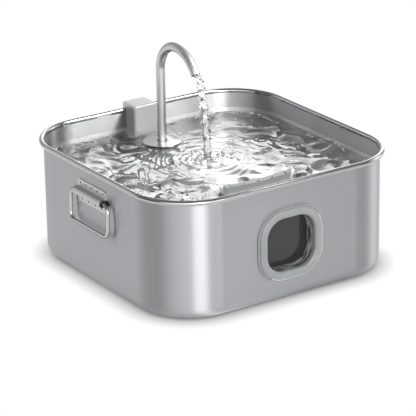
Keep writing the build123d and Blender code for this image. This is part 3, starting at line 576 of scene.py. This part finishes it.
# Height = level + rings + waves + edge. The rings are height cos(2 pi distance / length) exp(-distance /
# fade) round the landing. The waves are a sum of straight ones, exp(crest (sin(phase) - 1)), of random
# heading, the longer the steeper, bent by a swirl. The edge is a curve up the wall and a dip at the disc.
def waterHeight(x, y, wallDistance):
    discDistance = np.abs(np.hypot(x, y - spoutY) - water["hole"])
    chance = np.random.default_rng(water["seed"])
    distance = np.hypot(x - water["landing"][0], y - water["landing"][1])
    fade = np.exp(-distance / water["ringFade"])
    rings = water["ringHeight"] * np.cos(2 * np.pi * distance / water["ringLength"]) * fade
    coarse, fine = water["swirl"]
    rateX, rateY = water["coarseRates"]
    startX, startY = water["coarseStarts"]
    (fineXX, fineXY), (fineYX, fineYY) = water["fineRates"]
    bentX = x + coarse * np.sin(rateX * y + startX) + fine * np.sin(fineXX * x + fineXY * y)
    bentY = y + coarse * np.sin(rateY * x + startY) + fine * np.sin(fineYX * x + fineYY * y)
    lengths = np.geomspace(*water["rippleLengths"], water["rippleCount"])
    ripples = np.zeros_like(x)
    for length in lengths:
        heading, phase = chance.uniform(0, 2 * np.pi, 2)
        wave = 2 * np.pi * (bentX * np.cos(heading) + bentY * np.sin(heading)) / length + phase
        share = np.sqrt(length / water["rippleLengths"][1])
        profile = np.exp(water["crest"] * (np.sin(wave) - 1)) - water["crestMean"]
        ripples += profile * length / np.pi * share
    ripples *= water["rippleSlope"] * np.sqrt(2 / water["rippleCount"])
    smooth, smoothReach = water["smooth"]
    choppy, choppyReach = water["choppy"]
    stirred = 1.0 - smooth * np.exp(-(distance / smoothReach) ** 2)
    stirred = stirred + choppy * np.exp(-wallDistance / choppyReach)
    calm = 1 - np.exp(-wallDistance / water["wallCalm"])
    calm = calm * (1 - np.exp(-discDistance / water["discCalm"]))
    rise = np.exp(-wallDistance / water["meniscusReach"])
    dip = water["dip"] * np.exp(-discDistance / water["dipReach"])
    return water["level"] + (rings + ripples * stirred) * calm + water["meniscus"] * (rise - dip)


# Straight lines from the disc's edge to the wall: P(u, v) = (1 - v) hole(u) + v wall(u).
def addWater(material):
    half = tubHigh.x - water["rimRoll"] - water["wallGap"]
    u = np.arange(water["around"]) / water["around"]
    wall = roundedSquare(half, water["corner"] - water["wallGap"], u)
    centre = np.array([0, spoutY])
    towards = wall - centre
    hole = centre + water["hole"] * towards / np.linalg.norm(towards, axis=-1, keepdims=True)
    v = np.linspace(0, 1, water["across"])[:, None, None]
    flat = (1 - v) * hole[None] + v * wall[None]
    reach = np.linalg.norm(wall - hole, axis=-1)[None]
    height = waterHeight(flat[..., 0], flat[..., 1], (1 - v[..., 0]) * reach)
    points = np.concatenate([flat, height[..., None]], -1)
    return addPiece("water", points, gridFaces(water["across"], water["around"]), material)


bubbles = {
    "wall": 260,  # how many lie in clumps along the wall, round the landing, and loose
    "landing": 70,
    "drift": 46,
    "clumps": 30,
    "clumpSpread": 0.012,  # as a share of the way round the wall
    "seed": 5,
    "radius": (0.0009, 0.0026),
    "skew": 1.5,  # over 1, more of them are small and near
    "wallRoom": 0.0017,
    "landingRoom": (0.006, 0.030),  # the nearest, and how far out they go from there
    "driftReach": 0.12,
    "discRoom": 0.004,
    "openWater": 0.01,  # the distance from the wall for which the water's height is taken
    "sink": 0.1,  # how far the middle lies under the water, in radii
    "rows": 9,
    "columns": 12,
}


# Spheres a little more than half sunk in the water: centre + radius (sin a cos b, sin a sin b, cos a),
# where a is the angle from the top and b the one around.
def addBubbles(material):
    chance = np.random.default_rng(bubbles["seed"])
    half = tubHigh.x - water["rimRoll"]
    count = bubbles["wall"] + bubbles["landing"] + bubbles["drift"]
    small, large = bubbles["radius"]
    radius = small + (large - small) * chance.random(count) ** bubbles["skew"]
    clumps = chance.random(bubbles["clumps"])
    share = clumps[chance.integers(0, bubbles["clumps"], bubbles["wall"])]
    share = share + chance.normal(0, bubbles["clumpSpread"], bubbles["wall"])
    edge = roundedSquare(half - bubbles["wallRoom"], water["corner"] - bubbles["wallRoom"], share)
    turn = chance.uniform(0, 2 * np.pi, bubbles["landing"])
    room, spread = bubbles["landingRoom"]
    away = room + spread * chance.random(bubbles["landing"]) ** bubbles["skew"]
    near = np.array(water["landing"]) + away[:, None] * np.stack([np.cos(turn), np.sin(turn)], -1)
    loose = chance.uniform(-bubbles["driftReach"], bubbles["driftReach"], (bubbles["drift"], 2))
    middle = np.concatenate([edge, near, loose])
    clear = np.hypot(middle[:, 0], middle[:, 1] - spoutY) > water["hole"] + bubbles["discRoom"]
    middle, radius = middle[clear], radius[clear]
    openWater = np.full(len(middle), bubbles["openWater"])
    height = waterHeight(middle[:, 0], middle[:, 1], openWater) - bubbles["sink"] * radius
    centre = np.concatenate([middle, height[:, None]], -1)[:, None, None]
    fromTop = np.linspace(0, np.pi, bubbles["rows"])[:, None]
    around = np.arange(bubbles["columns"]) / bubbles["columns"] * 2 * np.pi
    out, up = np.sin(fromTop), np.cos(fromTop)
    ball = np.stack([out * np.cos(around), out * np.sin(around), up + 0 * around], -1)
    points = centre + radius[:, None, None, None] * ball[None]
    faces = gridFaces(bubbles["rows"], bubbles["columns"])
    step = bubbles["rows"] * bubbles["columns"]
    every = faces[None] + step * np.arange(len(middle))[:, None, None]
    return addPiece("bubbles", points, every.reshape(-1, 4), material, closed=True)


stream = {
    "inside": 0.003,  # how far it starts inside the pipe's end
    "tilt": 57.5,  # the pipe's end, in degrees below level
    "endIn": 0.0051,  # half the width of the pipe's end
    "endDown": 0.0268,  # from the pipe's top down to the middle of its end
    "fall": (0.30, 0.70),  # shares of an even and of a growing fall
    "bend": (0.7, 2.2),  # how the way to the landing is spread over the fall, in x and in y
    "radius": (0.0042, 0.0039),
    "foot": 0.0030,  # how much wider it is where it meets the water, and over what part of its length
    "footReach": 0.018,
    "sink": 0.003,
    "turns": 8.5,
    "lobes": ((0.15, 2, -1.0, 0.0), (0.08, 3, 1.3, 0.0), (0.06, 5, -2.3, -np.pi / 2)),
    "pulses": ((0.03, 41, 0), (0.03, 83, 1)),
    "around": 48,
    "along": 300,
}


# A rope of water: a level circle is carried from the pipe's end to the landing, on a line that turns down.
# Its radius, which widens at the foot, is r(t) (1 + sum of size cos(n u + spin twist + start)) (1 + sum
# of size sin(rate t + start)).
def addStream(material):
    tilt = radians(stream["tilt"])
    startY = pipeLow.y + stream["endIn"] * np.sin(tilt) + stream["inside"] * np.cos(tilt)
    startZ = pipeHigh.z - stream["endDown"] + stream["inside"] * np.sin(tilt)
    t = np.linspace(0, 1, stream["along"])[:, None]
    u = (np.arange(stream["around"]) / stream["around"] * 2 * np.pi)[None]
    endX, endY = water["landing"]
    endZ = water["level"] - stream["sink"]
    x = endX * t ** stream["bend"][0]
    y = startY + (endY - startY) * (1 - (1 - t) ** stream["bend"][1])
    z = startZ + (endZ - startZ) * (stream["fall"][0] * t + stream["fall"][1] * t ** 2)
    twist = 2 * np.pi * stream["turns"] * t
    radius = stream["radius"][0] + (stream["radius"][1] - stream["radius"][0]) * t
    radius = radius + stream["foot"] * np.exp(-(1 - t) / stream["footReach"])
    lobes = 1 + sum(size * np.cos(n * u + spin * twist + start) for size, n, spin, start in stream["lobes"])
    pulse = 1 + sum(size * np.sin(rate * t + start) for size, rate, start in stream["pulses"])
    r = radius * lobes * pulse
    r[0] = r[-1] = 0
    points = np.stack([x + r * np.cos(u), y + r * np.sin(u), z + 0 * u], -1)
    return addPiece("stream", points, gridFaces(stream["along"], stream["around"]), material, closed=True)


# Soft stuff: a weave or open cells move the tone and the bump.
softs = {
    "pad_fabric": {
        "color": (0.80, 0.80, 0.78), "rough": 0.85, "thread": 1500.0, "fuzz": 700.0, "bump": 0.5,
        "depth": 0.0002,
    },
    "foam": {"color": (0.055, 0.056, 0.06), "rough": 0.92, "cell": 900.0, "bump": 0.9, "depth": 0.0005},
}
softSpan = (0.1, 0.8)
softTones = (0.7, 1.1)


def softMaterial(name):
    values = softs[name]
    made, tree = emptyMaterial(name)
    point = objectPoint(tree)
    if name == "foam":
        cells = addNode(tree, "TexVoronoi", {"Vector": point, "Scale": values["cell"]})
        height = cells.outputs["Distance"]
    else:
        parts = addNode(tree, "SeparateXYZ", {0: point})
        rate = 2 * np.pi * values["thread"]
        warp = maths(tree, "SINE", maths(tree, "MULTIPLY", parts.outputs["X"], rate))
        weft = maths(tree, "SINE", maths(tree, "MULTIPLY", parts.outputs["Z"], rate))
        fuzz = noise(tree, point, values["fuzz"])
        height = maths(tree, "ADD", maths(tree, "MULTIPLY", warp, weft), fuzz)
    color = toned(tree, height, values["color"], *softTones, softSpan)
    shader = addNode(tree, "BsdfPrincipled", {"Base Color": color, "Roughness": values["rough"]})
    tree.links.new(bumpOf(tree, height, values["bump"], values["depth"]), shader.inputs["Normal"])
    closeMaterial(tree, shader)
    return made


pad = {
    "lobe": 0.0202,  # radius of a lobe, and how far its middle is from the pad's
    "spread": 0.01905,
    "topGap": 0.0003,
    "half": 0.0049,
    "edge": 0.0008,  # half thickness of the welded edge
    "lobes": (90, 210, 330),
    "crease": (0.022, 0.0016, 0.0013),  # length, width and depth
    "puckers": (0.00012, 38, 0.9, 0.05),  # height, count, and place and width as shares of the radius
    "crowding": 0.8,  # under 1, the rings are closer together towards the edge
    "around": 420,
    "rings": 70,
}


# Outline = the farthest of three circles, s cos(a) + sqrt(R^2 - s^2 sin^2(a)), a from a lobe's heading.
# Height = edge + crown sqrt(1 - share^4), pressed in along a line in each lobe, with a wave of puckers
# near the edge, on both faces.
def addPad(material):
    low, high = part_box("filter_pad")
    middleZ = high.z - pad["spread"] - pad["lobe"] - pad["topGap"]
    middle = ((low.x + high.x) / 2, (low.y + high.y) / 2, middleZ)
    turn = np.linspace(0, 2 * np.pi, pad["around"], endpoint=False)
    fromLobe = turn[None] - np.radians(pad["lobes"])[:, None]
    reach = pad["spread"] * np.cos(fromLobe)
    reach = np.max(reach + np.sqrt(pad["lobe"] ** 2 - (pad["spread"] * np.sin(fromLobe)) ** 2), axis=0)
    share = np.linspace(0, 1, pad["rings"]) ** pad["crowding"]
    share = np.concatenate([share, share[::-1]])[:, None]
    side = np.repeat([1.0, -1.0], pad["rings"])[:, None]
    x = share * reach * np.cos(turn)
    z = share * reach * np.sin(turn)
    crown = (pad["half"] - pad["edge"]) * np.sqrt(np.clip(1 - share ** 4, 0, 1))
    length, width, depth = pad["crease"]
    pressed = np.zeros_like(x)
    for heading in np.radians(pad["lobes"]):
        along = x * np.cos(heading) + z * np.sin(heading) - pad["spread"]
        across = z * np.cos(heading) - x * np.sin(heading)
        past = np.maximum(np.abs(along) - length / 2, 0)
        pressed = np.maximum(pressed, depth * np.exp(-(across ** 2 + past ** 2) / width ** 2))
    rise, count, place, wide = pad["puckers"]
    puckers = rise * np.sin(count * turn) * np.exp(-((share - place) / wide) ** 2)
    y = -side * (pad["edge"] + crown - pressed * crown / pad["half"] + puckers)
    points = np.stack([middle[0] + x, middle[1] + y, middle[2] + z], -1)
    faces = gridFaces(2 * pad["rings"], pad["around"])
    return addPiece("soft_pad", points, faces, material, closed=True)


foam = {
    "squareness": 9.0,
    "inset": 0.0003,
    "pores": 0.00022,
    "poreRates": (2100, 2300, 1900),
    "around": 220,
    "along": 150,
}


# A block with round corners: a superellipse |x|^n + |z|^n = 1 across, whose size falls as
# (1 - |s|^n)^(1/n) towards both ends, with a fine field of three sines for the open cells.
def addFoam(material):
    low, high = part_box("foam_prefilter")
    n = foam["squareness"]
    middle = [(low[i] + high[i]) / 2 for i in range(3)]
    half = [(high[i] - low[i]) / 2 - foam["inset"] for i in range(3)]
    turn = np.linspace(0, 2 * np.pi, foam["around"], endpoint=False)[None]
    s = np.sin(np.linspace(-np.pi / 2, np.pi / 2, foam["along"]))[:, None]
    size = np.clip(1 - np.abs(s) ** n, 0, 1) ** (1 / n)
    cos, sin = np.cos(turn), np.sin(turn)
    across = size / (np.abs(cos) ** n + np.abs(sin) ** n) ** (1 / n)
    x, y, z = half[0] * across * cos, half[1] * s + 0 * turn, half[2] * across * sin
    rateX, rateY, rateZ = foam["poreRates"]
    cells = np.sin(rateX * x) * np.sin(rateY * y + 1) * np.sin(rateZ * z + 2)
    shrink = 1 - foam["pores"] / half[2] * (1 + cells)
    points = np.stack([middle[0] + x * shrink, middle[1] + y * shrink, middle[2] + z * shrink], -1)
    faces = gridFaces(foam["along"], foam["around"])
    return addPiece("soft_foam", points, faces, material, closed=True)


# The sky's level round the compass, from -X by -Y, +X and +Y back to -X, as the shiny pieces see it.
studio = {
    "floor": 3.0,  # half its width
    "cloth": (0.93, 0.96),  # the range of its tone, and how fine its specks are
    "clothSpeck": 300.0,
    "lift": 10.0,  # the ramp's colours are shares of this
    "compass": [
        (0.00, 0.10), (0.02, 0.30), (0.05, 1.1), (0.10, 1.9), (0.14, 2.4), (0.172, 2.6), (0.195, 6.5),
        (0.240, 6.5), (0.266, 1.9), (0.336, 2.1), (0.345, 0.5), (0.41, 0.15), (0.450, 0.9), (0.475, 2.2),
        (0.51, 2.0), (0.54, 0.5), (0.57, 0.4), (0.595, 2.4), (0.650, 2.4), (0.670, 0.6), (0.74, 0.6),
        (0.77, 0.4), (0.82, 0.90), (0.86, 0.80), (0.91, 0.12), (1.00, 0.08),
    ],
    "overhead": 0.25,
    "overheadFrom": (0.45, 0.62),  # sines of the heights between which the overhead light takes over
    "back": (0.57, 0.76),  # the part of the compass behind the object, which is lit in bars
    "bars": [  # the level against the sine of the height, for water alone
        (0.00, 1.0), (0.06, 1.0), (0.09, 6.0), (0.20, 6.0), (0.225, 0.9), (0.30, 0.9), (0.33, 8.0),
        (0.62, 8.0), (0.67, 0.9), (0.75, 0.9), (0.80, 2.0), (0.90, 0.8),
    ],
    "haze": (0.648, 0.667, 0.35, 0.55),  # haze over the bars: part of the compass, and shares at its ends
    "hazeLevel": 6.2,
    "sides": 1.45,  # the level that matt pieces see near the horizon, and overhead
    "top": 0.55,
    "topFrom": (0.1, 0.8),  # sines of the heights between which the one goes over into the other
    "lean": 0.5,  # how much more of it comes from the front right, where "leanTo" points
    "leanTo": (0.55, -0.83),
    "fill": {
        "place": (0.22, -0.14, 0.52), "aim": (0.0, 0.145, 0.12), "size": 0.24, "power": 0.27,
        "spread": 50,  # narrow enough to miss the front rim
    },
    "card": (-0.0190, (0.128, 0.1075), (0.1485, 0.140)),  # x, and y and z of two of its corners
    "cardLevel": (0.13, 0.19),
    "cardSpeck": 900.0,
    "contact": 0.022,  # how far the shadow under the object reaches out, and its level where darkest
    "contactDark": 0.15,
}


# Camera rays see plain white, shiny and clear pieces see the compass, and matt pieces a softer light.
# The mirror-smooth ones, which are the water's, see bars in place of the compass behind the object.
def addWorld():
    world = bpy.data.worlds.new("studio")
    bpy.context.scene.world = world
    world.use_nodes = True
    tree = world.node_tree
    tree.nodes.clear()
    coord = addNode(tree, "TexCoord")
    parts = addNode(tree, "SeparateXYZ", {0: coord.outputs["Generated"]})
    turn = maths(tree, "ARCTAN2", parts.outputs["Y"], parts.outputs["X"])
    share = maths(tree, "ADD", maths(tree, "DIVIDE", turn, 2 * np.pi), 0.5)
    stops = [(place, (level / studio["lift"],) * 3) for place, level in studio["compass"]]
    around = maths(tree, "MULTIPLY", ramp(tree, share, stops), studio["lift"])
    up = parts.outputs["Z"]
    high = ranged(tree, up, *studio["overheadFrom"], 0.0, 1.0)
    around = mixed(tree, high, around, studio["overhead"])
    stops = [(place, (level / studio["lift"],) * 3) for place, level in studio["bars"]]
    bars = maths(tree, "MULTIPLY", ramp(tree, up, stops), studio["lift"])
    start, end = studio["back"]
    after = maths(tree, "GREATER_THAN", share, start)
    before = maths(tree, "LESS_THAN", share, end)
    behind = maths(tree, "MULTIPLY", after, before)
    bars = mixed(tree, ranged(tree, share, *studio["haze"]), bars, studio["hazeLevel"])
    path = addNode(tree, "LightPath")
    level = mixed(tree, maths(tree, "MULTIPLY", behind, path.outputs["Is Singular Ray"]), around, bars)
    shiny = maths(tree, "MAXIMUM", path.outputs["Is Glossy Ray"], path.outputs["Is Transmission Ray"])
    soft = ranged(tree, up, *studio["topFrom"], studio["sides"], studio["top"])
    leanX = maths(tree, "MULTIPLY", parts.outputs["X"], studio["leanTo"][0])
    leanY = maths(tree, "MULTIPLY", parts.outputs["Y"], studio["leanTo"][1])
    lean = maths(tree, "ADD", leanX, leanY)
    lean = ranged(tree, lean, -1, 1, 1 - studio["lean"], 1 + studio["lean"])
    soft = maths(tree, "MULTIPLY", soft, lean)
    level = mixed(tree, shiny, soft, level)
    sky = addNode(tree, "Background", {"Color": (1, 1, 1, 1), "Strength": level})
    white = addNode(tree, "Background", {"Color": (1, 1, 1, 1), "Strength": 1.0})
    values = {0: path.outputs["Is Camera Ray"], 1: sky.outputs[0], 2: white.outputs[0]}
    mix = addNode(tree, "MixShader", values)
    output = addNode(tree, "OutputWorld")
    tree.links.new(mix.outputs[0], output.inputs["Surface"])


# A lamp over the tub's front right that matt pieces don't see: it brightens the inside of the back wall.
def addFill():
    fill = studio["fill"]
    data = bpy.data.lights.new("fill", "AREA")
    data.size = fill["size"]
    data.energy = fill["power"]
    data.spread = radians(fill["spread"])
    item = bpy.data.objects.new("fill", data)
    bpy.context.scene.collection.objects.link(item)
    away = Vector(fill["place"]) - Vector(fill["aim"])
    turn = away.to_track_quat("Z", "Y").to_matrix().to_4x4()
    item.matrix_world = Matrix.Translation(fill["place"]) @ turn
    item.visible_camera = False
    item.visible_diffuse = False


# A small dark card to the left of the cord cover, which darkens that side of it. It is clear from behind.
def addCard():
    made, tree = emptyMaterial("card")
    speck = noise(tree, objectPoint(tree), studio["cardSpeck"], 2.0)
    felt = ranged(tree, speck, 0.0, 1.0, *studio["cardLevel"])
    dark = addNode(tree, "Emission", {"Color": (1, 1, 1, 1), "Strength": felt})
    nothing = addNode(tree, "BsdfTransparent")
    behind = addNode(tree, "NewGeometry").outputs["Backfacing"]
    mix = addNode(tree, "MixShader", {0: behind, 1: dark.outputs[0], 2: nothing.outputs[0]})
    closeMaterial(tree, mix)
    x, low, high = studio["card"]
    points = np.array([(x, *low), (x, high[0], low[1]), (x, *high), (x, low[0], high[1])])
    item = addPiece("card", points, np.array([[0, 1, 2, 3]]), made)
    item.visible_camera = False


# A pale floor, which looks white to the camera and in mirrors, but for a narrow shadow round the object.
def addFloor():
    half = studio["floor"]
    points = half * np.array([(-1, -1, 0), (1, -1, 0), (1, 1, 0), (-1, 1, 0)], float)
    made, tree = emptyMaterial("floor")
    speck = noise(tree, objectPoint(tree), studio["clothSpeck"], 2.0)
    dull, bright = studio["cloth"]
    color = ramp(tree, speck, [(0, (dull,) * 3), (1, (bright,) * 3)])
    cloth = addNode(tree, "BsdfDiffuse", {"Color": color})
    openAir = addNode(tree, "AmbientOcclusion", {"Distance": studio["contact"]}).outputs["AO"]
    strength = ranged(tree, openAir, 0.0, 1.0, studio["contactDark"], 1.0)
    glow = addNode(tree, "Emission", {"Color": (1, 1, 1, 1), "Strength": strength})
    path = addNode(tree, "LightPath")
    seen = maths(tree, "MAXIMUM", path.outputs["Is Glossy Ray"], path.outputs["Is Transmission Ray"])
    seen = maths(tree, "MAXIMUM", path.outputs["Is Camera Ray"], seen)
    mix = addNode(tree, "MixShader", {0: seen, 1: cloth.outputs[0], 2: glow.outputs[0]})
    closeMaterial(tree, mix)
    item = addPiece("floor", points, np.array([[0, 1, 2, 3]]), made)


bpy.context.scene.view_settings.view_transform = "Standard"
addCamera()
addWorld()
addFill()
addFloor()
addCard()
print("fountain: camera and studio made")
dressNodes()
print("fountain: nodes dressed")
waterGlass = clearMaterial("water")
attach(addWater(waterGlass), "tub")
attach(addBubbles(clearMaterial("bubble")), "tub")
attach(addStream(clearMaterial("stream")), "spout")
print("fountain: water made")
padPiece = addPad(softMaterial("pad_fabric"))
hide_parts("filter_pad")
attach(padPiece, "cassette")
foamPiece = addFoam(softMaterial("foam"))
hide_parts("foam_prefilter")
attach(foamPiece, "tub")
print("fountain: soft pieces made")
